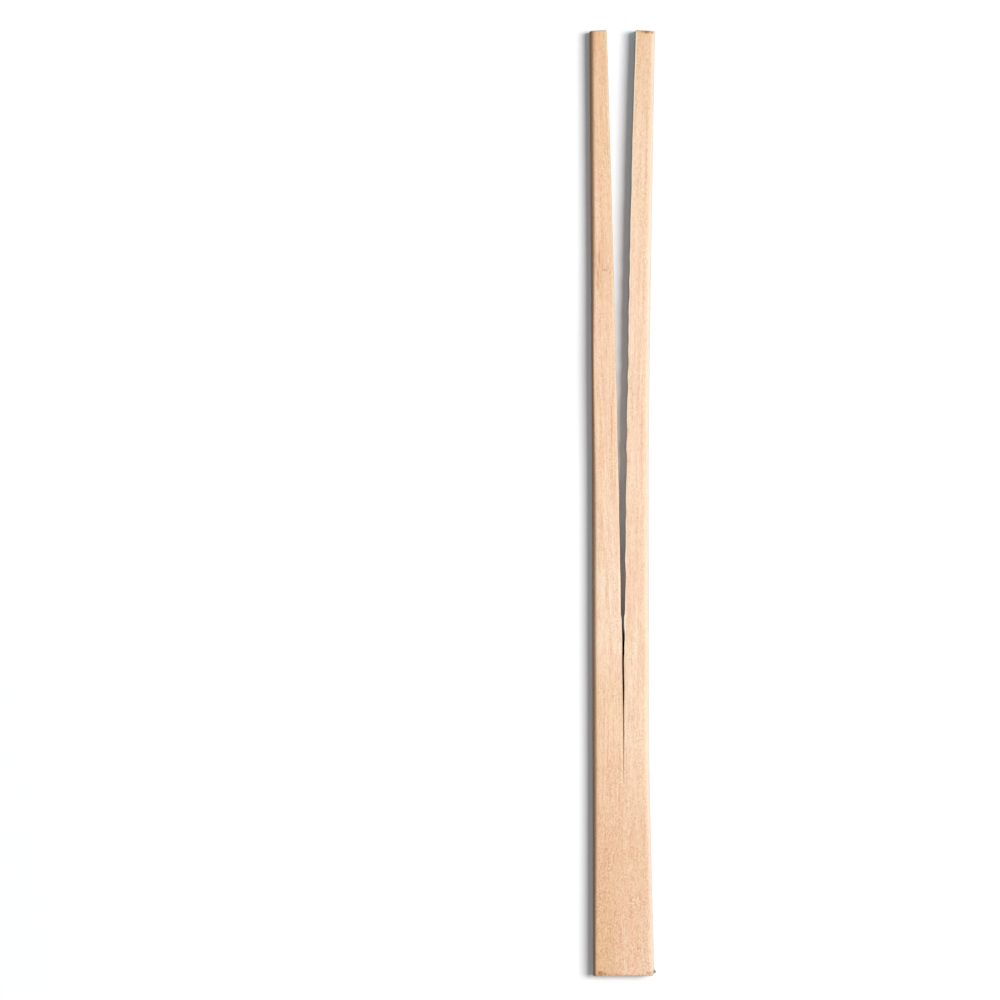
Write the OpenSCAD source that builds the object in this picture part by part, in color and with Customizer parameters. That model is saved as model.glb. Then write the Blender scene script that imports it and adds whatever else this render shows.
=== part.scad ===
// Joined pair of disposable chopsticks, lying flat as it comes out of its wrapper.
// The pair is one piece of wood. A saw kerf runs in from the tips and the wood has torn a little
// further along the grain, so the two sticks spring apart while the head still holds them together.
// X runs across the pair, Y from the head to the tips, and Z up from the face that it lies on.
// Sizes are in millimetres. Left and right are as seen from above with the tips pointing away.

/* [Pair] */
// Length from the head to the tips
pair_length = 203; // [180:1:260]
// Width across the head
head_width = 13.2; // [10:0.1:18]
// Thickness at the head
head_thickness = 4.6; // [3.4:0.1:6]
// Thickness at the tips
tip_thickness = 4.4; // [3:0.1:5]
// Width of the rounded long edges, outside only, as seen from above
edge_round = 1.2; // [0.2:0.1:1.8]
// Height of the rounded long edges
edge_drop = 2; // [0.2:0.1:2.6]

/* [Sticks] */
// Split line to outer edge of the left stick, in the straight middle stretch
left_waist = 6.65; // [5:0.05:9]
// Split line to outer edge of the right stick, in the straight middle stretch
right_waist = 5.55; // [4.5:0.05:9]
// Width of the left stick at its tip
left_tip_width = 3.7; // [2.5:0.05:5]
// Width of the right stick at its tip
right_tip_width = 4.25; // [2.5:0.05:5]
// Stretch in which the sides widen towards the head
head_flare_length = 50; // [20:1:70]
// Stretch in which the outer edges lean outwards towards the tips
sprung_length = 98; // [60:1:110]
// How far the outer corner of a tip is cut back behind its inner corner
tip_slant = 0.2; // [0.1:0.1:1.2]

/* [Split] */
// Length of head that is still whole
joined_length = 41; // [20:1:60]
// Length of the torn crack, from the whole wood to the end of the saw kerf
torn_length = 36; // [10:1:50]
// Width of the saw kerf
kerf_width = 0.2; // [0.1:0.05:0.8]
// Width of the crack where it dies out
hairline_width = 0.1; // [0.02:0.01:0.2]
// How far the left stick has sprung from the split line, at its tip
left_spring = 3.2; // [1:0.1:5]
// How far the right stick has sprung from the split line, at its tip
right_spring = 2.7; // [1:0.1:5]
// How far the tear wanders to either side of the split line
tear_wander = 0.06; // [0.02:0.02:0.3]
// Length of one wave of the tear
tear_wave = 17; // [8:1:30]

/* [Torn head corner] */
// Width that is chipped off the right corner of the head
chip_width = 0.6; // [0.2:0.1:2]
// Height that is chipped off the right corner of the head
chip_height = 0.5; // [0.2:0.1:2]
// How far the splinter stands out of the right side
splinter_reach = 0.4; // [0.1:0.1:1]
// Length of the splinter's root along the side
splinter_root = 1.1; // [0.5:0.1:3]
// Thickness of the splinter
splinter_thickness = 1.2; // [0.5:0.1:1.6]

/* [Hidden] */

// How quickly the outer edges leave their straight stretch
flare_power = 1.3;
// How the two faces of the split bow away from each other: the left one early, the right one late
left_opening_power = 1.5;
right_opening_power = 2.15;
// The tear wanders less and less up to this far from the end of the kerf
wander_reach = 60;
// A second, shorter wave keeps the tear from looking regular
short_wave_share = 0.62;
// Spacing of the sections along the sticks and of the points along the split
section_step = 8;
split_step = 2;
// Steps in each rounded corner of a section
round_steps = 6;
// A rounded edge takes at most this share of the thickness
round_limit = 0.46;
// Length over which the saw kerf runs out into the crack
kerf_run_out = 0.5;
// Cutting shapes reach this far past what they cut, and the splinter this far into the side
overcut = 2;
root_depth = 0.5;
// The splinter stands out furthest at this share of its root
splinter_peak = 0.33;

head_y = -pair_length / 2;
tip_y = pair_length / 2;
crack_end_y = head_y + joined_length;
kerf_end_y = crack_end_y + torn_length;
left_tip = left_gap(tip_y) + left_tip_width;
right_tip = right_gap(tip_y) + right_tip_width;
left_reach = max(left_tip, left_waist, head_width / 2);
right_reach = max(right_tip, right_waist, head_width / 2 + splinter_reach);
middle_x = (right_reach - left_reach) / 2;
tallest = max(head_thickness, tip_thickness);

// Share of the way from one Y to another, 0 before the first
function share(y, from, to) = max(0, (y - from) / (to - from));

// Distance of an outer edge from the split line: straight at the waist, leaning out at both ends
function outer_edge(y, waist, tip) =
    waist
    + (head_width / 2 - waist) * pow(share(y, head_y + head_flare_length, head_y), flare_power)
    + (tip - waist) * pow(share(y, tip_y - sprung_length, tip_y), flare_power);

function thickness(y) =
    head_thickness + (tip_thickness - head_thickness) * share(y, head_y, tip_y);

// Half the width that the crack and the saw take away
function half_kerf(y) =
    (hairline_width + kerf_width * min(1, share(y, kerf_end_y, kerf_end_y + kerf_run_out))) / 2;

// Distance of each inner face from the middle of the tear
function left_gap(y) = half_kerf(y) + left_spring * pow(share(y, crack_end_y, tip_y), left_opening_power);
function right_gap(y) = half_kerf(y) + right_spring * pow(share(y, crack_end_y, tip_y), right_opening_power);

// Both faces of the tear follow the same wandering line
function wander(y) =
    tear_wander * max(0, 1 - abs(y - kerf_end_y) / wander_reach)
    * (sin(360 * y / tear_wave) + sin(360 * y / (tear_wave * short_wave_share))) / 2;

// Evenly spaced values from one end to the other, both included
function steps(from, to, step) =
    let (count = ceil((to - from) / step))
    [for (i = [0:count]) from + (to - from) * i / count];

// Quarter of an oval about a centre, from one angle on
function corner(x, z, drop, start) =
    [for (i = [0:round_steps])
        let (angle = start + 90 * i / round_steps)
        [x + edge_round * cos(angle), z + drop * sin(angle)]];

// Cross-section of the whole pair at one Y, with its four outer corners rounded
function section(y) =
    let (
        tall = thickness(y),
        drop = min(edge_drop, round_limit * tall),
        left = edge_round - outer_edge(y, left_waist, left_tip),
        right = outer_edge(y, right_waist, right_tip) - edge_round,
        outline = concat(
            corner(right, drop, drop, -90),
            corner(right, tall - drop, drop, 0),
            corner(left, tall - drop, drop, 90),
            corner(left, drop, drop, 180)
        )
    )
    [for (p = outline) [p[0], y, p[1]]];

// Solid through a row of sections that all have the same number of points
module loft(sections) {
    size = len(sections[0]);
    last = len(sections) - 1;
    skin = [for (s = [0:last - 1], i = [0:size - 1])
        let (next = (i + 1) % size)
        [s * size + i, s * size + next, (s + 1) * size + next, (s + 1) * size + i]];
    head_cap = [for (i = [size - 1:-1:0]) i];
    tip_cap = [for (i = [0:size - 1]) last * size + i];
    polyhedron([for (s = sections) each s], concat([head_cap, tip_cap], skin), convexity = 4);
}

// Straight down through the whole thickness
module cut_through(outline) {
    translate([0, 0, -overcut])
        linear_extrude(tallest + 2 * overcut)
            polygon(outline);
}

module whole_blank() {
    loft([for (y = steps(head_y, tip_y, section_step)) section(y)]);
}

module split() {
    torn = steps(crack_end_y, kerf_end_y, split_step);
    sawn = steps(kerf_end_y + kerf_run_out, tip_y + overcut, split_step);
    ys = concat(torn, sawn);
    left_face = [for (y = ys) [wander(y) - left_gap(y), y]];
    right_face = [for (y = ys) [wander(y) + right_gap(y), y]];
    cut_through(concat(right_face, [for (i = [len(ys) - 1:-1:0]) left_face[i]]));
}

// Slanted end cut of one stick: side is -1 for the left one and 1 for the right one
module tip_cut(side, tip, tip_width) {
    inner = tip - tip_width;
    outer = tip + overcut;
    drop = tip_slant * (outer - inner) / tip_width;
    cut_through([
        [side * inner, tip_y],
        [side * outer, tip_y - drop],
        [side * outer, tip_y + overcut],
        [side * inner, tip_y + overcut]
    ]);
}

module head_chip() {
    corner_x = head_width / 2;
    slope = chip_height / chip_width;
    cut_through([
        [corner_x - chip_width - overcut, head_y - overcut * slope],
        [corner_x + overcut, head_y - overcut * slope],
        [corner_x + overcut, head_y + chip_height + overcut * slope]
    ]);
}

// Sliver that stands out of the right side, just above the chip
module head_splinter() {
    side_x = outer_edge(head_y, right_waist, right_tip);
    foot_y = head_y + chip_height;
    translate([0, 0, (thickness(head_y) - splinter_thickness) / 2])
        linear_extrude(splinter_thickness)
            polygon([
                [side_x - root_depth, foot_y],
                [side_x, foot_y],
                [side_x + splinter_reach, foot_y + splinter_root * splinter_peak],
                [side_x - root_depth, foot_y + splinter_root]
            ]);
}

module chopstick_pair() {
    color("#f2cda6")
        translate([-middle_x, 0, 0])
            union() {
                difference() {
                    whole_blank();
                    split();
                    tip_cut(-1, left_tip, left_tip_width);
                    tip_cut(1, right_tip, right_tip_width);
                    head_chip();
                }
                head_splinter();
            }
}

chopstick_pair();
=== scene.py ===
"""Joined pair of disposable chopsticks, half split, lying on a white studio floor."""

import math

import bmesh
import bpy
from bpy.props import FloatProperty, FloatVectorProperty, PointerProperty
from mathutils import Matrix, Vector, noise
from mathutils.bvhtree import BVHTree


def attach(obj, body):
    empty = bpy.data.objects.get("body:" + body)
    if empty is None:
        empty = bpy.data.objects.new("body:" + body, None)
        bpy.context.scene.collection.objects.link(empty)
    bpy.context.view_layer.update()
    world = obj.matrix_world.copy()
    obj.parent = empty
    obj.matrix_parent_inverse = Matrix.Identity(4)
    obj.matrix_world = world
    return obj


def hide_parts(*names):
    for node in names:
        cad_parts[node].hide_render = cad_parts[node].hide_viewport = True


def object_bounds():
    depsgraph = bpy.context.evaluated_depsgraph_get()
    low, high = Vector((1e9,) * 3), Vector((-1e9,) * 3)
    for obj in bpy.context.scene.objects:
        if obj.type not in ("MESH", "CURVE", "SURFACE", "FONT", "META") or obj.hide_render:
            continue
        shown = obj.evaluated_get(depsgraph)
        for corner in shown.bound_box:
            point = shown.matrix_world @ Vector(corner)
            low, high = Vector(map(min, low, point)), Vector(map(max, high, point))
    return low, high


bl_info = {
    "name": "Disposable chopsticks",
    "version": (1, 0, 0),
    "blender": (4, 5, 0),
    "location": "View3D > Sidebar > Chopsticks",
    "description": "Half-split wooden chopsticks and the studio they lie in",
    "category": "Add Mesh",
}

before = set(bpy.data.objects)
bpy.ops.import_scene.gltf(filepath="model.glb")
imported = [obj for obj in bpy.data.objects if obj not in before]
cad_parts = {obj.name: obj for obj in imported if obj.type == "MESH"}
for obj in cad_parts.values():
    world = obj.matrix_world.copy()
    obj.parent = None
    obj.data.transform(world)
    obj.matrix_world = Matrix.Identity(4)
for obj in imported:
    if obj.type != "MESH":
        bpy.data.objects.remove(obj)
CAD_BOX = [list(corner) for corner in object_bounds()]
NODE = "chopstick_pair"
HEAD_Y, TIP_Y = CAD_BOX[0][1], CAD_BOX[1][1]
MM = 0.001

# Cells of the section: across each rounded corner, across the flat of one stick, and up its side.
# Two narrow cells more keep the edge of the split crisp. They part its worn edge at these shares of its
# width.
CORNER_CELLS = 4
FLAT_CELLS = 8
SIDE_CELLS = 4
LIP_SHARES = (1, 0.4, 0)
STICK_CELLS = CORNER_CELLS + FLAT_CELLS + len(LIP_SHARES) - 1
SECTION_ROWS = 2 * CORNER_CELLS + SIDE_CELLS

# The walls of the CAD solid are measured at this height, over the stretch that its end cuts leave whole.
# Past that stretch they run on as they do over the last bit of it.
SURVEY_HEIGHT = 2.07 * MM
WHOLE_FROM, WHOLE_TO = HEAD_Y + 2.5 * MM, TIP_Y - 1.2 * MM
LAST_BIT = 1.5 * MM
# Measuring lines start this far outside the solid, and go on this far past each wall that they meet.
OUTSIDE = 50 * MM
PAST_WALL = 0.002 * MM

# The root of the split is searched for from this far inside both ends, down to this precision.
SEARCH_INSET = 5 * MM
SEARCH_STEP = 0.02 * MM

# A rounded edge takes at most these shares of a stick's width and height.
WIDEST_EDGE = 0.45
HIGHEST_EDGE = 0.46
# The first plain section lies this far from an end.
FIRST_SECTION = 0.5 * MM
# Sections on either side over which the grain evens out the wandering of the split
GRAIN_DRIFT = 15
# Stands for any place well away from an edge, in widths of that edge
FAR = 9
# Edges sharper than this are creases.
CREASE = math.radians(38)
# The wood keeps this far inside the sides of the CAD box.
BOX_INSET = 0.005 * MM
# Share of its width that the crack keeps where it closes up
CRACK_LEAST = 0.1

# Stretches of the left edge that the planer rounded less: middle in Y and half length in millimetres,
# and the share of the rounding that is missing
MISSED = ((30, 32, 0.5), (-100, 40, 0.35))

# The splinter grows out of a patch of the right side: how far the patch's middle lies above the broken corner
# and over the floor, its half length and half thickness, and what is left of both at the point, which droops.
SPLINTER_RISE = 0.35 * MM
SPLINTER_HEIGHT = 2.3 * MM
SPLINTER_HALF_LENGTH = 0.4 * MM
SPLINTER_HALF_THICKNESS = 0.7 * MM
SPLINTER_POINT = (0.3, 0.35)
SPLINTER_DROOP = 0.15 * MM
# A face whose normal has at least this X belongs to the right side.
RIGHT_FACING = 0.9


def linear(code):
    """Turns an sRGB hex colour into the linear values that shaders take."""
    parts = [int(code[i:i + 2], 16) / 255 for i in (1, 3, 5)]
    return tuple(c / 12.92 if c <= 0.04045 else ((c + 0.055) / 1.055) ** 2.4 for c in parts)


def colour_setting(name, code, description):
    """Colour that a user may change, given as an sRGB hex code."""
    return FloatVectorProperty(name=name, description=description, subtype="COLOR", size=3,
                               default=linear(code))


def length_setting(name, size, description, least=0.01, most=100):
    """Length that a user may change, given in millimetres. None can be 0, because some are divisors."""
    return FloatProperty(name=name, description=description, default=size * MM, min=least * MM,
                         max=most * MM, unit="LENGTH")


def share_setting(name, share, description, most=1):
    """Share that a user may change."""
    return FloatProperty(name=name, description=description, default=share, min=0, max=most,
                         subtype="FACTOR")


class ChopstickShape(bpy.types.PropertyGroup):
    """Sizes of the wood that the eye picks out close up."""

    edge_round: length_setting(
        "Edge width", 1.2, "Width of the rounded long edges, as seen from above", least=0.2, most=1.8)
    edge_drop: length_setting("Edge height", 2.0, "Height of the rounded long edges", least=0.2, most=2.6)
    edge_wear: share_setting(
        "Edge wear", 0.1, "How much the rounding grows and shrinks along an edge", most=0.5)
    wear_length: length_setting("Wear length", 17, "Length of one swell in the worn edges", least=2)
    end_bevel: length_setting("End bevel", 0.14, "Broken edge round the cut ends", least=0.02, most=0.4)
    saw_depth: length_setting("Saw depth", 0.06, "Depth of the saw's marks in the cut ends", most=0.3)
    saw_width: length_setting("Saw width", 0.45, "Width of one of the saw's marks", least=0.1)
    saw_height: length_setting("Saw height", 1.1, "Height of one of the saw's marks", least=0.1)
    tear_depth: length_setting(
        "Tear depth", 0.12, "Depth of the hollows that torn fibres leave in the split faces", most=0.4)
    tear_length: length_setting("Tear length", 5, "Length of the hollows along the grain", least=1)
    tear_height: length_setting("Tear height", 1.1, "Height of the hollows across the grain", least=0.2)
    tear_gap: length_setting(
        "Tear gap", 0.6, "Width of the split from which on the hollows have their full depth", least=0.1)
    tear_lean: length_setting(
        "Tear lean", 0.6, "How far the tear slants to one side on its way down through the wood", most=1.5)
    lean_in: length_setting(
        "Lean in", 6, "Length over which the slant sets in from the root of the split", least=1)
    lean_out: length_setting(
        "Lean out", 5, "Length over which the slant dies out towards the saw kerf", least=1)
    nick_depth: length_setting(
        "Nick depth", 0.25, "Depth of the nicks that broken fibres leave in the right stick's split face",
        most=0.6)
    nick_length: length_setting("Nick length", 3.5, "Length of those nicks along the grain", least=1)
    nick_run: length_setting("Nick run", 90, "Distance from the tips within which the nicks die out", least=1)
    crack_fade: length_setting(
        "Crack fade", 22, "Length over which the crack closes up towards the whole wood", least=0.5)
    sawn_from: length_setting("Sawn from", 77, "Distance from the head at which the saw kerf begins")
    sawn_share: share_setting(
        "Sawn share", 0.3, "Roughness of the sawn stretch next to that of the torn one")
    split_wear: length_setting(
        "Split wear", 0.2,
        "Rounding of the edges along the sawn stretch of the split", least=0.02, most=0.6)
    torn_wear: share_setting(
        "Torn wear", 0.2, "Rounding of the edges along the torn stretch next to that of the sawn one")
    wear_run: length_setting(
        "Wear run", 30, "Length over which the rounding grows from the torn to the sawn stretch", least=1)
    plane_wave: length_setting(
        "Plane wave", 0.03, "Depth of the slow hollows that the planer leaves in the broad faces", most=0.2)
    wave_width: length_setting("Wave width", 3, "Width of those hollows", least=1)
    wave_length: length_setting("Wave length", 20, "Length of those hollows", least=1)
    tip_slant: length_setting(
        "Tip slant", 0.2, "How far the outer corner of a tip is cut back behind its inner corner", most=1.2)
    tip_run: length_setting(
        "Tip run", 8, "Length of stick over which the sections turn to follow the slant", least=1)
    chip_width: length_setting(
        "Chip width", 0.6, "Width that is chipped off the right corner of the head", least=0.1)
    chip_height: length_setting(
        "Chip height", 0.5, "Height that is chipped off the right corner of the head")
    chip_run: length_setting(
        "Chip run", 3, "Length of the right side over which the sections turn to follow the chip", least=1)
    splinter_reach: length_setting(
        "Splinter reach", 0.36, "How far the splinter stands out of the right side")
    station_step: length_setting("Station step", 0.4, "Spacing of the sections along the sticks", least=0.2)


class BirchFinish(bpy.types.PropertyGroup):
    """Colours of the wood and the real sizes of its figure."""

    pale: colour_setting("Pale wood", "#fff2da", "Lightest streaks and flecks")
    main: colour_setting("Main wood", "#fad9bc", "Most of the planed face")
    dark: colour_setting("Dark wood", "#e0bb98", "Darkest streaks and flecks")
    blush: colour_setting("Blush", "#fffafc", "Pink cast that comes and goes along the wood")
    tan: colour_setting("Tan", "#fefaf4", "What the tan bands take from the colour")
    # Colour of the painted highlight on the right edge, which faces the soft box; its upper part is drawn
    # paler.
    worn: colour_setting("Worn edge", "#f6f2ea", "Right edge, burnished pale")
    left_tint: colour_setting(
        "Left tint", "#fcf6f0", "What the left stick and both tips take from the colour")
    head_tint: colour_setting("Head tint", "#f7efea", "What the handled head takes from the colour")
    stain_tint: colour_setting(
        "Stain tint", "#f9f8f1", "What the stain at the left of the head takes besides")
    tip_tint: colour_setting("Tip tint", "#f2ede0", "What the ends of the tips take from the colour")
    # The mark colour also carries the painted shade on the left edges and along the crack.
    mark: colour_setting("Mark", "#a8733f", "Brown lines, specks and browned edges")
    resin: colour_setting("Resin", "#c8803a", "Orange streak in the left stick")
    grime: colour_setting("Grime", "#85766a", "Grey soil on the broken corner and the tips")
    end_grain: colour_setting("End grain", "#dcb68a", "Cut ends, and the furrows of the sawn faces")
    sawn: colour_setting("Sawn wood", "#ecd5bf", "Sawn faces of the split")
    sawn_tint: colour_setting("Sawn tint", "#dcd2ca", "What the sawn faces lose towards the tips")
    # Painted shade: the torn faces deep in the crack are drawn dark brown, where little light gets in.
    crack: colour_setting("Crack", "#8c4c14", "Torn faces deep in the crack")
    figure_width: length_setting("Figure width", 2.4, "Width of the broad bands of colour")
    figure_length: length_setting("Figure length", 45, "Length of the broad bands of colour")
    blush_width: length_setting("Blush width", 2.2, "Width of the pink patches")
    blush_length: length_setting("Blush length", 9, "Length of the pink patches")
    streak_width: length_setting("Streak width", 0.4, "Width of the grain lines")
    streak_length: length_setting("Streak length", 13, "Length of the grain lines")
    fleck_width: length_setting("Fleck width", 0.2, "Width of the short flecks")
    fleck_length: length_setting("Fleck length", 1.3, "Length of the short flecks")
    fuzz_width: length_setting("Fuzz width", 0.26, "Width of the specks of raised fibre")
    fuzz_length: length_setting("Fuzz length", 0.39, "Length of the specks of raised fibre")
    patch_width: length_setting("Patch width", 2.2, "Width of the patches that are fuzzy")
    patch_length: length_setting("Patch length", 4.5, "Length of the patches that are fuzzy")
    rag_width: length_setting("Rag width", 0.35, "Width of the fibres that fray a mark")
    rag_length: length_setting("Rag length", 1.6, "Length of the fibres that fray a mark")
    fibre_width: length_setting("Fibre width", 0.28, "Width of the ridges in a split face")
    fibre_length: length_setting("Fibre length", 7, "Length of the ridges in a split face")
    shred_width: length_setting("Shred width", 0.16, "Width of the loose ends in a split face")
    shred_length: length_setting("Shred length", 1.5, "Length of the loose ends in a split face")
    vessel_size: length_setting("Vessel size", 0.15, "Size of the dots in a cut end")
    layer_width: length_setting("Layer width", 0.7, "Width of the growth layers in a cut end")
    layer_height: length_setting("Layer height", 7, "Height over which a growth layer keeps its tone")
    roughness: share_setting("Roughness", 0.7, "Dry planed wood, without polish")
    gloss: share_setting("Gloss", 0.15, "Faint gleam of bare wood")


class ChopstickStudio(bpy.types.PropertyGroup):
    """Floor, light and camera."""

    floor_colour: colour_setting("Floor", "#ffffff", "White card")
    bounce_left: colour_setting("Bounce left", "#4a3c30", "What the card throws back at the left sides")
    bounce_right: colour_setting("Bounce right", "#d8d4ce", "What the card throws back at the right sides")
    bounce_from: length_setting(
        "Bounce from", 3, "X at which the left bounce begins to give way to the right one")
    bounce_to: length_setting("Bounce to", 6, "X from which on there is only the right bounce")
    card_glow: FloatProperty(
        name="Card glow", default=0.054,
        description="Light of its own that the card shows, which keeps narrow shadows from going black")
    glow_colour: colour_setting("Glow colour", "#c4c4c4", "Colour of that light")
    gap_glow: colour_setting(
        "Gap glow", "#81d6ff", "Its colour between the sticks, where the wood throws warm light")
    floor_size: FloatProperty(
        name="Floor size", description="Side of the card", default=8, unit="LENGTH")
    floor_drop: length_setting("Floor drop", 0.02, "How far the card lies under the wood")
    key_power: FloatProperty(
        name="Key power", description="Soft box at the right", default=202, unit="POWER")
    key_width: FloatProperty(
        name="Key width", description="Side of the soft box across the sticks", default=2.3, unit="LENGTH")
    key_length: FloatProperty(
        name="Key length", description="Side of the soft box along the sticks", default=1.3, unit="LENGTH")
    key_place: FloatVectorProperty(
        name="Key place", description="Middle of the soft box, which faces straight down",
        subtype="TRANSLATION", size=3, default=(2.25, 0.35, 4.0))
    sky: FloatProperty(
        name="Sky", description="Strength of the even light from all round", default=0.3)
    sky_colour: colour_setting("Sky colour", "#f6faff", "Slightly cool, as daylight is beside a lamp")
    photo_scale: FloatProperty(
        name="Photo scale", description="Length that one picture element covers on the top face",
        default=203 * MM / 946.2, unit="LENGTH", precision=6)
    picture_width: FloatProperty(
        name="Picture width", description="Picture elements across the photo", default=1000)
    top_height: length_setting("Top height", 4, "Height at which the scale holds")
    camera_place: FloatVectorProperty(
        name="Camera place", description="Lens, over the middle of the picture", subtype="TRANSLATION",
        size=3, default=(-26.446 * MM, 0.71 * MM, 1.6))
    camera_turn: FloatProperty(
        name="Camera turn", description="Turn of the picture about its middle", default=math.radians(-0.106),
        unit="ROTATION")
    sensor_width: FloatProperty(
        name="Sensor width", description="Width of the camera's sensor in millimetres", default=24)


def cad_tree():
    """Search tree over the CAD solid, to measure it with."""
    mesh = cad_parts[NODE].data
    points = [v.co for v in mesh.vertices]
    return BVHTree.FromPolygons(points, [p.vertices for p in mesh.polygons])


def crossings(tree, start, direction):
    """Points where a line through the CAD solid goes in and out."""
    found = []
    while True:
        hit = tree.ray_cast(start, direction)[0]
        if hit is None:
            return found
        found.append(hit)
        start = hit + direction * PAST_WALL


def walls_at(tree, y):
    """X of the four walls at one Y: outer and inner of the left stick, inner and outer of the right."""
    hits = [p.x for p in crossings(tree, Vector((-OUTSIDE, y, SURVEY_HEIGHT)), Vector((1, 0, 0)))]
    if len(hits) >= 4:
        return [hits[0], hits[1], hits[2], hits[-1]]
    return [hits[0], None, None, hits[-1]]


def thickness_at(tree, y, x):
    """Height of the top face over the floor."""
    return max(p.z for p in crossings(tree, Vector((x, y, OUTSIDE)), Vector((0, 0, -1))))


def split_root(tree):
    """Y at which the split begins, found by halving the way from a whole section to a parted one."""
    whole, parted = HEAD_Y + SEARCH_INSET, TIP_Y - SEARCH_INSET
    while parted - whole > SEARCH_STEP:
        middle = (whole + parted) / 2
        if walls_at(tree, middle)[1] is None:
            whole = middle
        else:
            parted = middle
    return parted


def evenly(first, last, step):
    """Values from first to last, both included, about one step apart."""
    count = max(1, round((last - first) / step))
    return [first + (last - first) * i / count for i in range(count + 1)]


def survey(tree, ys):
    """Walls and thickness of the CAD solid at each Y."""
    def measure(y):
        walls = walls_at(tree, y)
        inner_x = walls[3] if walls[1] is None else walls[1]
        return walls, thickness_at(tree, y, (walls[0] + inner_x) / 2)

    rows = []
    for y in ys:
        clean = min(max(y, WHOLE_FROM), WHOLE_TO)
        walls, tall = measure(clean)
        if y != clean:
            inward = LAST_BIT if y < clean else -LAST_BIT
            past, past_tall = measure(clean + inward)
            share = (y - clean) / -inward
            walls = [w if w is None else w + (w - p) * share for w, p in zip(walls, past)]
            tall += (tall - past_tall) * share
        rows.append((walls, tall))
    return rows


def extrude(bm, faces, length):
    """Extrudes a patch of faces along Y and returns its new front."""
    grown = bmesh.ops.extrude_face_region(bm, geom=faces)["geom"]
    bmesh.ops.translate(bm, verts=[g for g in grown if isinstance(g, bmesh.types.BMVert)], vec=(0, length, 0))
    return [g for g in grown if isinstance(g, bmesh.types.BMFace)]


def counted_bar(root, last):
    """Plain closed bar, one unit of Y to a station, parted into two sticks past the root station."""
    bm = bmesh.new()
    bm.verts.layers.float_vector.new("grain")
    bm.verts.layers.float_vector.new("edges")
    stick = bm.verts.layers.float.new("stick")
    bmesh.ops.create_grid(bm, x_segments=2 * STICK_CELLS, y_segments=SECTION_ROWS, size=1)
    bmesh.ops.rotate(bm, verts=bm.verts, matrix=Matrix.Rotation(-math.pi / 2, 3, "X"))
    front = extrude(bm, bm.faces[:], root)
    for side in (-1, 1):
        for f in extrude(bm, [f for f in front if f.calc_center_median().x * side > 0], last - root):
            for v in f.verts:
                v[stick] = side
    bmesh.ops.delete(bm, geom=front, context="FACES")
    # The long edges of each of the two stretches are cut at every station between.
    for start, count in ((0, root), (root, last - root)):
        runs = [e for e in bm.edges
                if e.calc_length() > 1.5 and abs(min(v.co.y for v in e.verts) - start) < 0.5]
        bmesh.ops.subdivide_edges(bm, edges=runs, cuts=count - 1)
    return bm


def count_off(bm, root):
    """Column, row, station and stick of every vertex; stick is 0 in the head, -1 left and 1 right."""
    mark = bm.verts.layers.float["stick"]
    places = {}
    for v in bm.verts:
        column = round((v.co.x + 1) * STICK_CELLS)
        row = round((v.co.z + 1) * SECTION_ROWS / 2)
        station = round(v.co.y)
        places[v] = (column, row, station, 0 if station <= root else math.copysign(1, v[mark]))
    return places


def across(column, width, edge, wear):
    """Distance of a column of the section from the outer wall of its stick."""
    if column <= CORNER_CELLS:
        return edge * column / CORNER_CELLS
    past = column - (CORNER_CELLS + FLAT_CELLS)
    if past >= 0:
        return width - wear * LIP_SHARES[past]
    return edge + (width - wear - edge) * (column - CORNER_CELLS) / FLAT_CELLS


def upward(row, tall, edge):
    """Height of a row of the section."""
    if row <= CORNER_CELLS:
        return edge * row / CORNER_CELLS
    if row >= SECTION_ROWS - CORNER_CELLS:
        return tall - edge * (SECTION_ROWS - row) / CORNER_CELLS
    return edge + (tall - 2 * edge) * (row - CORNER_CELLS) / SIDE_CELLS


def round_off(out, up):
    """Moves a point of a unit square on to the quarter disc inside it."""
    turn = math.pi / 4 * (up / out if out >= up else 2 - out / up)
    return max(out, up) * math.cos(turn), max(out, up) * math.sin(turn)


def smooth(share):
    """Eases a share from 0 to 1 in and out."""
    share = min(max(share, 0), 1)
    return share * share * (3 - 2 * share)


def ripple(x, y, z):
    """Smooth noise between about 0 and 1."""
    return 0.5 + 0.5 * noise.noise(Vector((x, y, z)))


def drift(values, spread):
    """Running mean over so many neighbours on either side."""
    means = []
    for i in range(len(values)):
        near = values[max(0, i - spread):i + spread + 1]
        means.append(sum(near) / len(near))
    return means


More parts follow.
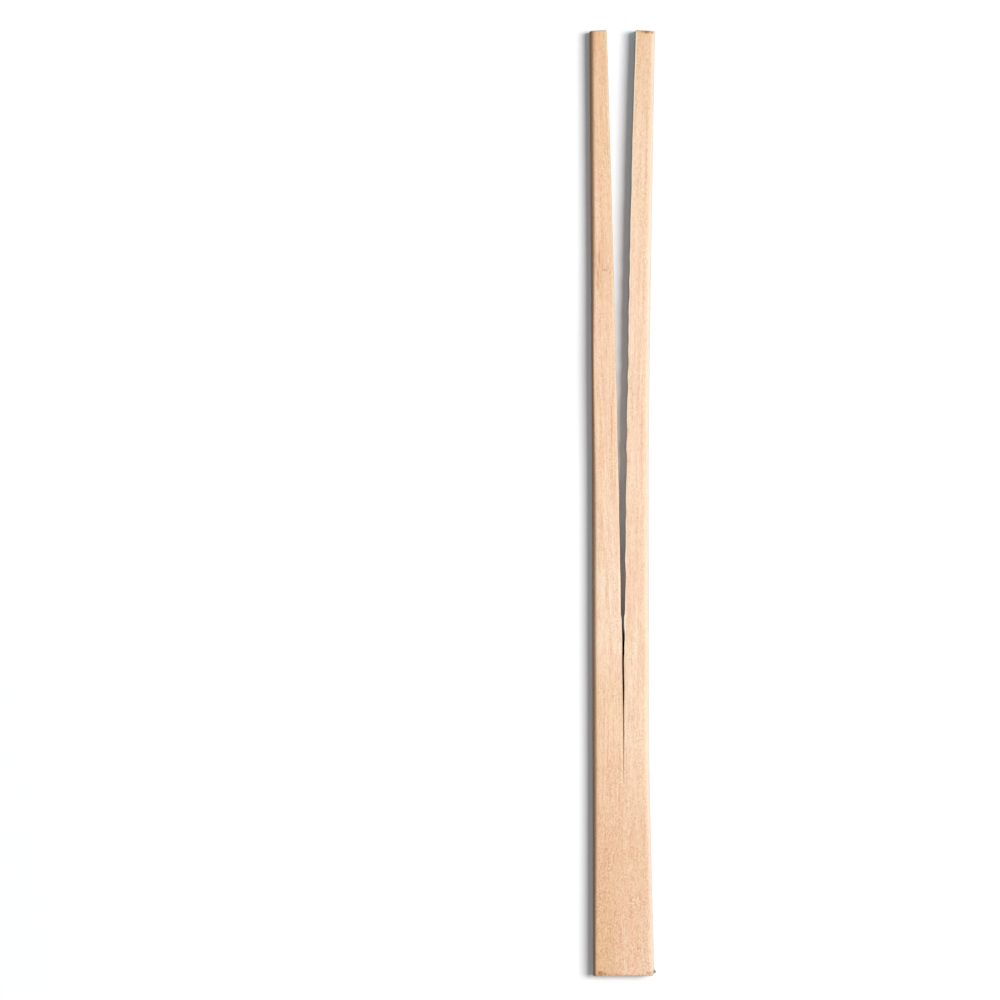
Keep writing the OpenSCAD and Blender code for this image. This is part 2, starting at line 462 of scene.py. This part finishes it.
class AddChopsticks(bpy.types.Operator):
    """Builds the half-split pair as one closed piece of wood over the CAD solid"""

    bl_idname = "object.add_chopsticks"
    bl_label = "Add Chopsticks"

    def execute(self, context):
        shape = context.scene.chopstick_shape
        finish = context.scene.birch_finish
        tree = cad_tree()
        root = split_root(tree)
        bevel = shape.end_bevel
        head_ys = [HEAD_Y, HEAD_Y + bevel] + evenly(HEAD_Y + FIRST_SECTION, root, shape.station_step)
        stick_ys = evenly(root, TIP_Y - FIRST_SECTION, shape.station_step) + [TIP_Y - bevel, TIP_Y]
        ys = head_ys + stick_ys[1:]

        root_station, last = len(head_ys) - 1, len(ys) - 1
        bm = counted_bar(root_station, last)
        self.carve(bm, shape, count_off(bm, root_station), ys, survey(tree, ys))
        self.raise_splinter(bm, shape)
        bmesh.ops.recalc_face_normals(bm, faces=bm.faces)
        mesh = bpy.data.meshes.new("chopsticks")
        bm.to_mesh(mesh)
        bm.free()
        mesh.shade_smooth()
        mesh.set_sharp_from_angle(angle=CREASE)
        for material in (planed_birch(finish), split_birch(finish), end_grain_birch(finish)):
            mesh.materials.append(material)
        piece = bpy.data.objects.new("chopsticks", mesh)
        context.collection.objects.link(piece)
        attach(piece, "root")
        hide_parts(NODE)
        return {"FINISHED"}

    def carve(self, bm, shape, places, ys, rows):
        """Moves every vertex of the counted bar to its place on the wood and notes its place in the grain."""
        last = len(ys) - 1
        split = [(walls[1] + walls[2]) / 2 if walls[1] is not None else None for walls, _ in rows]
        first_open = next(i for i, x in enumerate(split) if x is not None)
        split = [split[max(i, first_open)] for i in range(len(split))]
        line = drift(split, GRAIN_DRIFT)
        root_y = ys[first_open]
        grain = bm.verts.layers.float_vector["grain"]
        edges = bm.verts.layers.float_vector["edges"]
        for v, (column, row, station, stick) in places.items():
            y = ys[station]
            walls, tall = rows[station]
            side = stick or (-1 if column <= STICK_CELLS else 1)
            outer_x = walls[0] if side < 0 else walls[3]
            gap = 0
            if stick:
                opened = smooth((y - root_y) / shape.crack_fade)
                gap = (walls[2] - walls[1]) * (CRACK_LEAST + (1 - CRACK_LEAST) * opened)
            inner_x = split[station] + side * gap / 2 + self.nick(y, side, gap, shape)
            width = abs(outer_x - inner_x)
            own = column if side < 0 else 2 * STICK_CELLS - column
            wide = min(self.edge_width(y, side, shape), WIDEST_EDGE * width)
            high = min(shape.edge_drop, HIGHEST_EDGE * tall)
            into_sawn = smooth((y - HEAD_Y - shape.sawn_from) / shape.wear_run)
            wear = shape.split_wear * (shape.torn_wear + (1 - shape.torn_wear) * into_sawn)

            out = (CORNER_CELLS - own) / CORNER_CELLS
            up = (CORNER_CELLS - min(row, SECTION_ROWS - row)) / CORNER_CELLS
            x_off = across(own, width, wide, wear)
            z = upward(row, tall, high)
            if out > 0 and up > 0:
                round_out, round_up = round_off(out, up)
                x_off = wide * (1 - round_out)
                z = high * (1 - round_up) if row < SECTION_ROWS / 2 else tall - high * (1 - round_up)
            elif up == 1 and stick and x_off > width - wear:
                round_out, round_up = round_off(1 - (width - x_off) / wear, 1)
                x_off = width - wear * (1 - round_out)
                z += wear * (1 - round_up) * (1 if row == 0 else -1)
            at_end = station in (0, last)
            if at_end:
                x_off += shape.end_bevel * (1 - (2 if stick else 1) * x_off / width)
                z += shape.end_bevel * (1 - 2 * z / tall)
            if own == STICK_CELLS and stick:
                x_off -= self.torn_hollow(y, z, side, gap, shape)
            x = outer_x - side * x_off
            if station >= first_open:
                inward = smooth((own - CORNER_CELLS) / (STICK_CELLS - CORNER_CELLS))
                x += self.lean(y, root_y, shape) * inward * (1 - z / tall)
            x = min(max(x, CAD_BOX[0][0] + BOX_INSET), CAD_BOX[1][0] - BOX_INSET)
            z *= 1 - shape.plane_wave / tall * ripple(x / shape.wave_width, y / shape.wave_length, 0)

            if at_end:
                bite = shape.saw_depth * ripple(x / shape.saw_width, 0.3 * station, z / shape.saw_height)
                y += bite if station == 0 else -bite
            if stick:
                y -= self.tip_drop(x, y, walls, stick, shape)
            else:
                y += self.chip_lift(x, y, walls[3], shape)
            v.co = (x, y, z)
            v[grain] = (x - line[station] - side * gap / 2, ys[station], z)
            v[edges] = (x_off / wide, FAR, 0) if side < 0 else (FAR, x_off / wide, 0)
        self.sort_faces(bm, places, last)

    def sort_faces(self, bm, places, last):
        """Gives the split faces and the cut ends their own materials."""
        for f in bm.faces:
            corners = [places[v] for v in f.verts]
            if all(p[2] <= 1 for p in corners) or all(p[2] >= last - 1 for p in corners):
                f.material_index = 2
            elif all(p[0] == STICK_CELLS for p in corners):
                f.material_index = 1

    def edge_width(self, y, side, shape):
        """Width of the rounded outer edge at one place. Each side has its own swells."""
        swell = noise.noise(Vector((y / shape.wear_length, 3.7 * side, 0)))
        width = shape.edge_round * (1 + shape.edge_wear * swell)
        if side < 0:
            for middle, half, share in MISSED:
                width *= 1 - share * smooth(1 - abs(y - middle * MM) / (half * MM))
        return width

    def torn_hollow(self, y, z, side, gap, shape):
        """Depth of a split face under its plain surface: slow hollows, and ledges where fibres broke off."""
        rough = 1 if y - HEAD_Y < shape.sawn_from else shape.sawn_share
        spot = Vector((y / shape.tear_length, z / shape.tear_height, 5.1 * side))
        hollow = max(0, 0.4 + noise.noise(spot))
        ledge = noise.cell(Vector((spot.x * 1.7, spot.y, spot.z)))
        return shape.tear_depth * rough * min(1, gap / shape.tear_gap) * (0.6 * hollow + 0.4 * ledge)

    def nick(self, y, side, gap, shape):
        """How far broken fibres set the right stick's split face back: short nicks, dying out at the tips."""
        if side < 0:
            return 0
        depth = shape.nick_depth * max(0, 0.3 + noise.noise(Vector((y / shape.nick_length, 8.3, 0))))
        return depth * min(1, gap / shape.tear_gap) * smooth((TIP_Y - y) / shape.nick_run)

    def lean(self, y, root_y, shape):
        """Slant of the tear at one Y: none at its root nor in the sawn stretch, which is square."""
        sawn_y = HEAD_Y + shape.sawn_from
        return shape.tear_lean * smooth((y - root_y) / shape.lean_in) * smooth((sawn_y - y) / shape.lean_out)

    def tip_drop(self, x, y, walls, stick, shape):
        """How far the slanted end cut sets a point back: most at the outer corner, fading down the stick."""
        inner_x, outer_x = (walls[1], walls[0]) if stick < 0 else (walls[2], walls[3])
        near = max(0, 1 - (TIP_Y - y) / shape.tip_run)
        return shape.tip_slant * near * (x - inner_x) / (outer_x - inner_x)

    def chip_lift(self, x, y, right, shape):
        """How far the broken corner sets a point of the head back, fading up the right side."""
        near = max(0, 1 - (y - HEAD_Y) / shape.chip_run)
        into = max(0, x - (right - shape.chip_width))
        return shape.chip_height * near * into / shape.chip_width

    def raise_splinter(self, bm, shape):
        """Pulls a pointed sliver out of the right side, just above the broken corner."""
        middle_y = HEAD_Y + shape.chip_height + SPLINTER_RISE
        bm.normal_update()
        patch = []
        for f in bm.faces:
            centre = f.calc_center_median()
            near = (abs(centre.y - middle_y) < SPLINTER_HALF_LENGTH
                    and abs(centre.z - SPLINTER_HEIGHT) < SPLINTER_HALF_THICKNESS)
            if near and f.normal.x > RIGHT_FACING:
                patch.append(f)
        if not patch:
            raise RuntimeError("no face of the right side lies where the splinter stands")
        grown = bmesh.ops.extrude_face_region(bm, geom=patch)["geom"]
        bmesh.ops.delete(bm, geom=patch, context="FACES")
        point = [g for g in grown if isinstance(g, bmesh.types.BMVert)]
        centre = sum((v.co for v in point), Vector()) / len(point)
        bmesh.ops.scale(bm, verts=point, vec=(1, *SPLINTER_POINT), space=Matrix.Translation(-centre))
        bmesh.ops.translate(bm, verts=point, vec=(shape.splinter_reach, -SPLINTER_DROOP, 0))


def add_node(tree, kind, inputs=(), stops=(), **settings):
    """Adds a node with its settings, the stops of its colour ramp and its inputs, in order or by name.
    An input is a value, a socket, or a node, of which the first output in use is linked."""
    node = tree.nodes.new("ShaderNode" + kind)
    for name, value in settings.items():
        setattr(node, name, value)
    for _ in stops[2:]:
        node.color_ramp.elements.new(1.0)
    for i, (place, colour) in enumerate(stops):
        node.color_ramp.elements[i].position = place
        node.color_ramp.elements[i].color = (*colour, 1)
    for name, value in inputs.items() if isinstance(inputs, dict) else enumerate(inputs):
        socket = node.inputs[name]
        if isinstance(value, bpy.types.Node):
            value = next(s for s in value.outputs if s.enabled)
        if isinstance(value, bpy.types.NodeSocket):
            tree.links.new(value, socket)
        else:
            socket.default_value = (*value, 1) if socket.type == "RGBA" else value
    return node


def new_material(name):
    """Empty node material and its tree."""
    material = bpy.data.materials.new(name)
    material.use_nodes = True
    material.node_tree.nodes.clear()
    return material, material.node_tree


def dry_wood(tree, finish, colour, roughness, relief, strength, depth):
    """Bare wood, hardly glossy, with its relief pressed into the surface."""
    bump = add_node(tree, "Bump", {"Height": relief, "Strength": strength, "Distance": depth})
    shader = add_node(tree, "BsdfPrincipled", {
        "Base Color": colour, "Roughness": roughness, "Specular IOR Level": finish.gloss, "Normal": bump})
    add_node(tree, "OutputMaterial", {"Surface": shader})


def grain_noise(tree, place, width, length, detail, seed):
    """Noise drawn out along the grain: width across it and length along it are in metres."""
    scaled = add_node(tree, "VectorMath", (place, (1 / width, 1 / length, 1 / width)), operation="MULTIPLY")
    moved = add_node(tree, "VectorMath", (scaled, (seed, 0.37 * seed, 0.71 * seed)), operation="ADD")
    return add_node(tree, "TexNoise", {"Vector": moved, "Scale": 1.0, "Detail": detail})


def weigh(tree, base, field, weight):
    """Adds a noise field, taken about its mean of a half, to a running sum."""
    about_mean = add_node(tree, "Math", (field, 0.5), operation="SUBTRACT")
    return add_node(tree, "Math", (about_mean, weight, base), operation="MULTIPLY_ADD")


def within(tree, share, *bounds):
    """What soft bounds leave of a share. Each is a value, where it leaves all and where it leaves nothing."""
    for value, full, none in bounds:
        left = add_node(tree, "MapRange", (value, none, full), interpolation_type="SMOOTHSTEP")
        share = add_node(tree, "Math", (share, left), operation="MULTIPLY")
    return share


def tinted(tree, colour, tint, share, *bounds, mode="MIX"):
    """Colour with so large a share of a tint laid over it, within soft bounds."""
    return add_node(tree, "Mix", {0: within(tree, share, *bounds), 6: colour, 7: tint}, data_type="RGBA",
                    blend_type=mode)


def from_head(distance):
    """Y so many millimetres from the head."""
    return HEAD_Y + distance * MM


def from_tips(distance):
    """Y so many millimetres from the tips."""
    return TIP_Y - distance * MM


# Weights of the grain lines, the flecks and the fuzz in the tone of a planed face. Lines and fuzz have one
# weight at the head and one away from it, and change over a stretch given in millimetres from the head.
# The fuzz is stronger and weaker from patch to patch, by these shares.
LINE_WEIGHTS, LINE_CHANGE = (0.25, 0.65), (20, 40)
FLECK_WEIGHT = 0.75
FUZZ_WEIGHTS, FUZZ_CHANGE = (1.3, 0.6), (0, 60)
FUZZ_PATCHES = (0.45, 1.55)

# The head keeps its tint over the first share of the length and has lost it at the second. The tips begin
# to take theirs at the third and have so much of it at the fourth.
TINT_SHARES = (0.14, 0.25, 0.75, 0.93)
NEAR_TIP = 0.35

# Pale stretch of the left stick: its middle in Y, and how far off the middle it begins and ends to darken,
# in millimetres
PALE_STRETCH = (-15, 10, 28)

# In millimetres from the head: where the painted highlight along the split begins and is full, where the
# painted shade on the lips of the crack begins, is full, fades and ends, and where the painted shade deep in
# the crack fades and ends
FRINGE = (62, 72)
LIPS = (40, 52, 68, 76)
CRACK = (70, 78)
# How strongly the painted highlight whitens the edge of the split, left and right
SPLIT_HIGHLIGHT = (0.3, 0.75)

# Marks on the planed faces: name, colour, x and y of the middle, half width and half length in millimetres,
# and how strongly the mark colours the wood
MARKS = (
    ("resin streak", "resin", -5.08, 52.6, 0.24, 3.0, 0.5),
    ("resin streak foot", "resin", -5.3, 48.6, 0.24, 3.0, 0.5),
    ("tan patch round the streak", "resin", -4.3, 51.0, 1.9, 9.0, 0.13),
    ("cross nick", "mark", -3.9, 50.0, 0.95, 0.3, 0.34),
    ("nick's left side", "mark", -4.5, 51.4, 0.16, 1.3, 0.14),
    ("nick's right side", "mark", -3.05, 51.2, 0.16, 1.4, 0.16),
    ("red grain line", "mark", -2.5, 15.6, 0.15, 5.4, 0.3),
    # Painted shade along the crack, where it closes up too narrow to darken by itself.
    ("crack shade", "mark", 0.0, -52.0, 0.2, 11.5, 0.25),
    ("head corner stain", "mark", -5.1, -100.8, 0.75, 0.7, 0.75),
    ("head stain", "mark", -4.2, -101.0, 0.5, 0.45, 0.6),
    ("chipped corner stain", "grime", 5.4, -100.7, 0.7, 0.4, 0.4),
    # Painted shade: the splinter is drawn grey, as the shadow blurs into it.
    ("splinter shade", "grime", 6.6, -100.5, 0.45, 0.6, 0.9),
    ("right tip scorch", "mark", 4.85, 101.25, 2.0, 0.45, 0.55),
    ("right tip stain", "mark", 5.2, 101.0, 0.6, 0.4, 0.95),
    ("right tip corner stain", "grime", 6.3, 100.85, 0.4, 0.35, 0.75),
)


def planed_birch(finish):
    """Birch, planed and tumbled: pale and dry, with fine straight lines, short flecks and a slow drift of
    tone. The flecks are drawn about twice as coarse as birch's vessels, which are too fine to show."""
    material, tree = new_material("planed_birch")
    place = add_node(tree, "Attribute", attribute_name="grain").outputs["Vector"]
    parts = add_node(tree, "SeparateXYZ", (place,)).outputs
    across_grain, along, height = parts["X"], parts["Y"], parts["Z"]
    streak = grain_noise(tree, place, finish.streak_width, finish.streak_length, 2.0, 7.9)
    fleck = grain_noise(tree, place, finish.fleck_width, finish.fleck_length, 2.0, 4.1)
    fuzz = grain_noise(tree, place, finish.fuzz_width, finish.fuzz_length, 1.0, 6.7)

    # The head is fuzzier than the rest and less lined, and all of it is fuzzy in patches.
    lined = add_node(tree, "MapRange", (along, *map(from_head, LINE_CHANGE), *LINE_WEIGHTS))
    raised = add_node(tree, "MapRange", (along, *map(from_head, FUZZ_CHANGE), *FUZZ_WEIGHTS))
    patch = grain_noise(tree, place, finish.patch_width, finish.patch_length, 1.0, 15.2)
    patchy = add_node(tree, "MapRange", (patch, 0.3, 0.7, *FUZZ_PATCHES))
    raised = add_node(tree, "Math", (raised, patchy), operation="MULTIPLY")
    tone = weigh(tree, 0.5, streak, lined)
    tone = weigh(tree, tone, fleck, FLECK_WEIGHT)
    tone = weigh(tree, tone, fuzz, raised)
    plain = add_node(tree, "ValToRGB", (tone,), stops=(
        (0.15, finish.dark), (0.5, finish.main), (0.85, finish.pale)))

    colour = slow_tints(tree, finish, plain, place, across_grain, along)
    colour = split_edges(tree, finish, colour, across_grain, along)
    # Full on the upper faces and fading out between 2.3 and 1.1 mm over the floor. It keeps the marks on top,
    # and the painted shade and highlight on the upper part of the flanks.
    upper = within(tree, 1.0, (height, 2.3 * MM, 1.1 * MM))
    colour = outer_edges(tree, finish, colour, plain, upper)
    # Handling has soiled the edge of the head, and the saw the edges of the tips.
    colour = tinted(tree, colour, finish.mark, 0.5, (along, HEAD_Y, from_head(1.0)), (fuzz, 0.3, 0.75))
    colour = tinted(tree, colour, finish.grime, 0.6, (along, TIP_Y, from_tips(0.5)), (fuzz, 0.2, 0.7))
    colour = marked(tree, finish, colour, place, upper)

    roughness = weigh(tree, finish.roughness, streak, -0.25)
    relief = weigh(tree, streak, fleck, 0.6)
    relief = weigh(tree, relief, fuzz, 0.4)
    dry_wood(tree, finish, colour, roughness, relief, 0.5, 0.03 * MM)
    return material


def slow_tints(tree, finish, colour, place, across_grain, along):
    """Casts that change slowly: from head to tips, in broad bands, and from the left stick to the right."""
    white = (1.0, 1.0, 1.0)
    near_tip = [1 - NEAR_TIP + NEAR_TIP * c for c in finish.tip_tint]
    head_ends, white_from, white_to, tip_from = TINT_SHARES
    length_share = add_node(tree, "MapRange", (along, HEAD_Y, TIP_Y))
    tint = add_node(tree, "ValToRGB", (length_share,), stops=(
        (0.0, finish.head_tint), (head_ends, finish.head_tint), (white_from, white), (white_to, white),
        (tip_from, near_tip), (1.0, finish.tip_tint)))
    colour = tinted(tree, colour, tint, 1.0, mode="MULTIPLY")
    figure = grain_noise(tree, place, finish.figure_width, finish.figure_length, 1.0, 2.3)
    colour = tinted(tree, colour, finish.tan, 1.0, (figure, 0.65, 0.35), mode="MULTIPLY")
    pink = grain_noise(tree, place, finish.blush_width, finish.blush_length, 1.0, 13.1)
    colour = tinted(tree, colour, finish.blush, 1.0, (pink, 0.65, 0.4), mode="MULTIPLY")

    # The left stick is a little darker, but for a pale stretch near the root of the split. So are both tips.
    middle, begins, ends = (mm * MM for mm in PALE_STRETCH)
    off_pale = add_node(tree, "Math", (along, middle), operation="SUBTRACT")
    off_pale = add_node(tree, "Math", (off_pale,), operation="ABSOLUTE")
    left = within(tree, 1.0, (across_grain, -0.2 * MM, 0.2 * MM), (off_pale, ends, begins))
    tips = within(tree, 0.8, (along, from_tips(8), from_tips(35)))
    darker = add_node(tree, "Math", (left, tips), operation="MAXIMUM")
    colour = tinted(tree, colour, finish.left_tint, darker, mode="MULTIPLY")
    return tinted(tree, colour, finish.stain_tint, 1.0, (across_grain, -3 * MM, -0.5 * MM),
                  (along, from_head(5), from_head(35)), mode="MULTIPLY")


def split_edges(tree, finish, colour, across_grain, along):
    """Painted highlight along the split, where loose fibres catch the light, and painted shade on the lips
    of the crack.
    """
    off_split = add_node(tree, "Math", (across_grain,), operation="ABSOLUTE")
    # Painted highlight: the edges of the split are drawn paler, more so on the right stick.
    split_highlight = add_node(tree, "MapRange", (across_grain, -0.1 * MM, 0.1 * MM, *SPLIT_HIGHLIGHT))
    begins, full = map(from_head, FRINGE)
    colour = tinted(tree, colour, finish.pale, split_highlight, (off_split, 0.1 * MM, 0.55 * MM), (along, full, begins))
    # Painted shade: brown on the lips of the crack, which is too narrow for light to get in.
    begins, full, fades, ends = map(from_head, LIPS)
    return tinted(tree, colour, finish.mark, 0.3, (off_split, 0.02 * MM, 0.25 * MM), (along, fades, ends),
                  (along, full, begins))


def outer_edges(tree, finish, colour, plain, upper):
    """Painted shade on the left edge, which faces away from the soft box, and painted highlight on the right
    edge, which faces it and still shows its grain.
    """
    edges = add_node(tree, "Attribute", attribute_name="edges").outputs["Vector"]
    edges = add_node(tree, "SeparateXYZ", (edges,)).outputs
    # Painted shade: the left edge, turned away from the soft box, is darkened towards brown on its upper
    # part.
    darkened = add_node(tree, "Math", (upper, 0.55), operation="MULTIPLY")
    colour = tinted(tree, colour, finish.mark, darkened, (edges["X"], 0.35, 0.85))
    # Painted highlight: the right edge, which faces the soft box, is paled on its upper part and keeps its
    # grain.
    highlighted = tinted(tree, finish.worn, plain, 0.35, mode="MULTIPLY")
    highlight_share = add_node(tree, "Math", (upper, 0.9), operation="MULTIPLY")
    return tinted(tree, colour, highlighted, highlight_share, (edges["Y"], 0.0, 1.0))


def marked(tree, finish, colour, place, upper):
    """Single marks on the upper side, frayed along the grain."""
    spot = add_node(tree, "TexCoord").outputs["Object"]
    ragged = grain_noise(tree, place, finish.rag_width, finish.rag_length, 2.0, 11.0)
    for name, tint, x, y, half_width, half_length, strength in MARKS:
        off = add_node(tree, "VectorMath", (spot, (x * MM, y * MM, 0)), operation="SUBTRACT")
        shape = (1 / (half_width * MM), 1 / (half_length * MM), 0)
        off = add_node(tree, "VectorMath", (off, shape), operation="MULTIPLY")
        far = add_node(tree, "VectorMath", (off,), operation="LENGTH", label=name)
        frayed = weigh(tree, far, ragged, 1.6)
        cover = add_node(tree, "Math", (upper, strength), operation="MULTIPLY")
        colour = tinted(tree, colour, getattr(finish, tint), cover, (frayed, 0.3, 1.2))
    return colour


def split_birch(finish):
    """Birch sawn and torn along the grain: long ridges of fibre, lighter on their crests, and painted
    dark brown deep in the crack as painted shade."""
    material, tree = new_material("split_birch")
    place = add_node(tree, "Attribute", attribute_name="grain").outputs["Vector"]
    along = add_node(tree, "SeparateXYZ", (place,)).outputs["Y"]
    fibre = grain_noise(tree, place, finish.fibre_width, finish.fibre_length, 3.0, 5.3)
    shred = grain_noise(tree, place, finish.shred_width, finish.shred_length, 2.0, 9.2)
    tone = weigh(tree, 0.5, fibre, 0.9)
    tone = weigh(tree, tone, shred, 0.5)
    colour = add_node(tree, "ValToRGB", (tone,), stops=(
        (0.15, finish.end_grain), (0.5, finish.sawn), (0.9, finish.pale)))
    colour = tinted(tree, colour, finish.sawn_tint, 1.0, (along, from_tips(50), from_head(92)),
                    mode="MULTIPLY")
    # Painted shade deep in the crack: the torn faces turn dark brown towards the head.
    fades, ends = map(from_head, CRACK)
    colour = tinted(tree, colour, finish.crack, 0.9, (along, fades, ends))
    dry_wood(tree, finish, colour, 0.9, tone, 0.8, 0.12 * MM)
    return material


def end_grain_birch(finish):
    """Birch cut across the grain: a little darker, because the open vessels swallow light, pricked with dots
    and faintly layered. The dots are drawn several times as wide as real vessels, to show at all."""
    material, tree = new_material("end_grain_birch")
    spot = add_node(tree, "TexCoord").outputs["Object"]
    parts = add_node(tree, "SeparateXYZ", (spot,)).outputs
    section = add_node(tree, "CombineXYZ", (parts["X"], parts["Z"]))
    vessel = grain_noise(tree, section, finish.vessel_size, finish.vessel_size, 2.0, 1.7)
    layer = grain_noise(tree, section, finish.layer_width, finish.layer_height, 1.0, 6.4)
    tone = weigh(tree, 0.5, vessel, 0.8)
    tone = weigh(tree, tone, layer, 0.6)
    colour = add_node(tree, "ValToRGB", (tone,), stops=(
        (0.0, finish.mark), (0.5, finish.end_grain), (1.0, finish.main)))
    dry_wood(tree, finish, colour, 0.85, tone, 0.6, 0.08 * MM)
    return material


# Where the card counts as lying between the sticks: each pair is where that is full and where it has ended,
# in X at the left, in X at the right, and in Y towards the head
GAP = ((-3.5 * MM, -5 * MM), (2.5 * MM, 4 * MM), (0.0, -20 * MM))


class SetChopstickStudio(bpy.types.Operator):
    """Lays the white card, hangs the soft box and sets the camera overhead"""

    bl_idname = "scene.set_chopstick_studio"
    bl_label = "Set Studio"

    def execute(self, context):
        studio = context.scene.chopstick_studio
        self.lay_floor(context, studio)
        self.light(context, studio)
        self.aim(context, studio)
        context.scene.view_settings.view_transform = "Standard"
        return {"FINISHED"}

    def seen(self, tree):
        """1 on rays that show a surface to the eye, directly or in a gloss, and 0 on rays that only light."""
        path = add_node(tree, "LightPath").outputs
        shown = add_node(tree, "Math", (path["Is Camera Ray"], path["Is Glossy Ray"]), operation="MAXIMUM")
        return add_node(tree, "Math", (shown, path["Is Transmission Ray"]), operation="MAXIMUM")

    def lay_floor(self, context, studio):
        """White card that takes the shadow. It lights the right sides and starves the left ones,
        as a white board on one side and a black one on the other would."""
        bm = bmesh.new()
        bmesh.ops.create_grid(bm, x_segments=1, y_segments=1, size=studio.floor_size / 2)
        bmesh.ops.translate(bm, verts=bm.verts, vec=(0, 0, -studio.floor_drop))
        mesh = bpy.data.meshes.new("white_card")
        bm.to_mesh(mesh)
        bm.free()
        material, tree = new_material("matt_white_card")
        spot = add_node(tree, "TexCoord").outputs["Object"]
        parts = add_node(tree, "SeparateXYZ", (spot,)).outputs
        side, along = parts["X"], parts["Y"]
        seen = self.seen(tree)
        thrown = tinted(tree, studio.bounce_left, studio.bounce_right, 1.0,
                        (side, studio.bounce_to, studio.bounce_from))
        shown = tinted(tree, thrown, studio.floor_colour, seen)
        card = add_node(tree, "BsdfDiffuse", {"Color": shown})
        left, right, end = GAP
        tint = tinted(tree, studio.glow_colour, studio.gap_glow, 1.0,
                      (side, *left), (side, *right), (along, *end))
        strength = add_node(tree, "Math", (seen, studio.card_glow), operation="MULTIPLY")
        glow = add_node(tree, "Emission", {"Color": tint, "Strength": strength})
        both = add_node(tree, "AddShader", (card, glow))
        add_node(tree, "OutputMaterial", {"Surface": both})
        mesh.materials.append(material)
        floor = bpy.data.objects.new("white_card", mesh)
        context.collection.objects.link(floor)

    def light(self, context, studio):
        """Soft box at the right, wide across the sticks and narrow along them, and an even sky."""
        lamp = bpy.data.lights.new("soft_box", "AREA")
        lamp.shape = "RECTANGLE"
        lamp.size, lamp.size_y = studio.key_width, studio.key_length
        lamp.energy = studio.key_power
        box = bpy.data.objects.new("soft_box", lamp)
        box.location = studio.key_place
        context.collection.objects.link(box)
        world = bpy.data.worlds.new("even_sky")
        context.scene.world = world
        world.use_nodes = True
        tree = world.node_tree
        tree.nodes.clear()
        strength = add_node(tree, "MapRange", (self.seen(tree), 0.0, 1.0, studio.sky, 1.0))
        sky = add_node(tree, "Background", {"Color": studio.sky_colour, "Strength": strength})
        add_node(tree, "OutputWorld", {"Surface": sky})

    def aim(self, context, studio):
        """Straight down on the middle of the picture, which lies to the left of the pair."""
        data = bpy.data.cameras.new("camera")
        data.sensor_width = studio.sensor_width
        distance = studio.camera_place[2] - studio.top_height
        data.lens = data.sensor_width * distance / (studio.picture_width * studio.photo_scale)
        data.clip_start, data.clip_end = 0.01, 20
        camera = bpy.data.objects.new("camera", data)
        camera.location = studio.camera_place
        camera.rotation_euler = (0, 0, studio.camera_turn)
        context.collection.objects.link(camera)
        context.scene.camera = camera


class ChopstickPanel(bpy.types.Panel):
    """Chopsticks in the sidebar"""

    bl_idname = "VIEW3D_PT_chopsticks"
    bl_label = "Chopsticks"
    bl_space_type = "VIEW_3D"
    bl_region_type = "UI"
    bl_category = "Chopsticks"

    def draw(self, context):
        scene = context.scene
        for group, operator in ((scene.chopstick_shape, AddChopsticks), (scene.birch_finish, None),
                                (scene.chopstick_studio, SetChopstickStudio)):
            box = self.layout.box()
            for name in group.bl_rna.properties.keys():
                if name not in ("rna_type", "name"):
                    box.prop(group, name)
            if operator:
                box.operator(operator.bl_idname)


CLASSES = (ChopstickShape, BirchFinish, ChopstickStudio, AddChopsticks, SetChopstickStudio, ChopstickPanel)
GROUPS = {"chopstick_shape": ChopstickShape, "birch_finish": BirchFinish, "chopstick_studio": ChopstickStudio}


def register():
    for cls in CLASSES:
        bpy.utils.register_class(cls)
    for name, group in GROUPS.items():
        setattr(bpy.types.Scene, name, PointerProperty(type=group))


def unregister():
    for name in GROUPS:
        delattr(bpy.types.Scene, name)
    for cls in reversed(CLASSES):
        bpy.utils.unregister_class(cls)


def main():
    register()
    bpy.ops.object.add_chopsticks()
    bpy.ops.scene.set_chopstick_studio()
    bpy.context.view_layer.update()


if __name__ == "__main__":
    main()
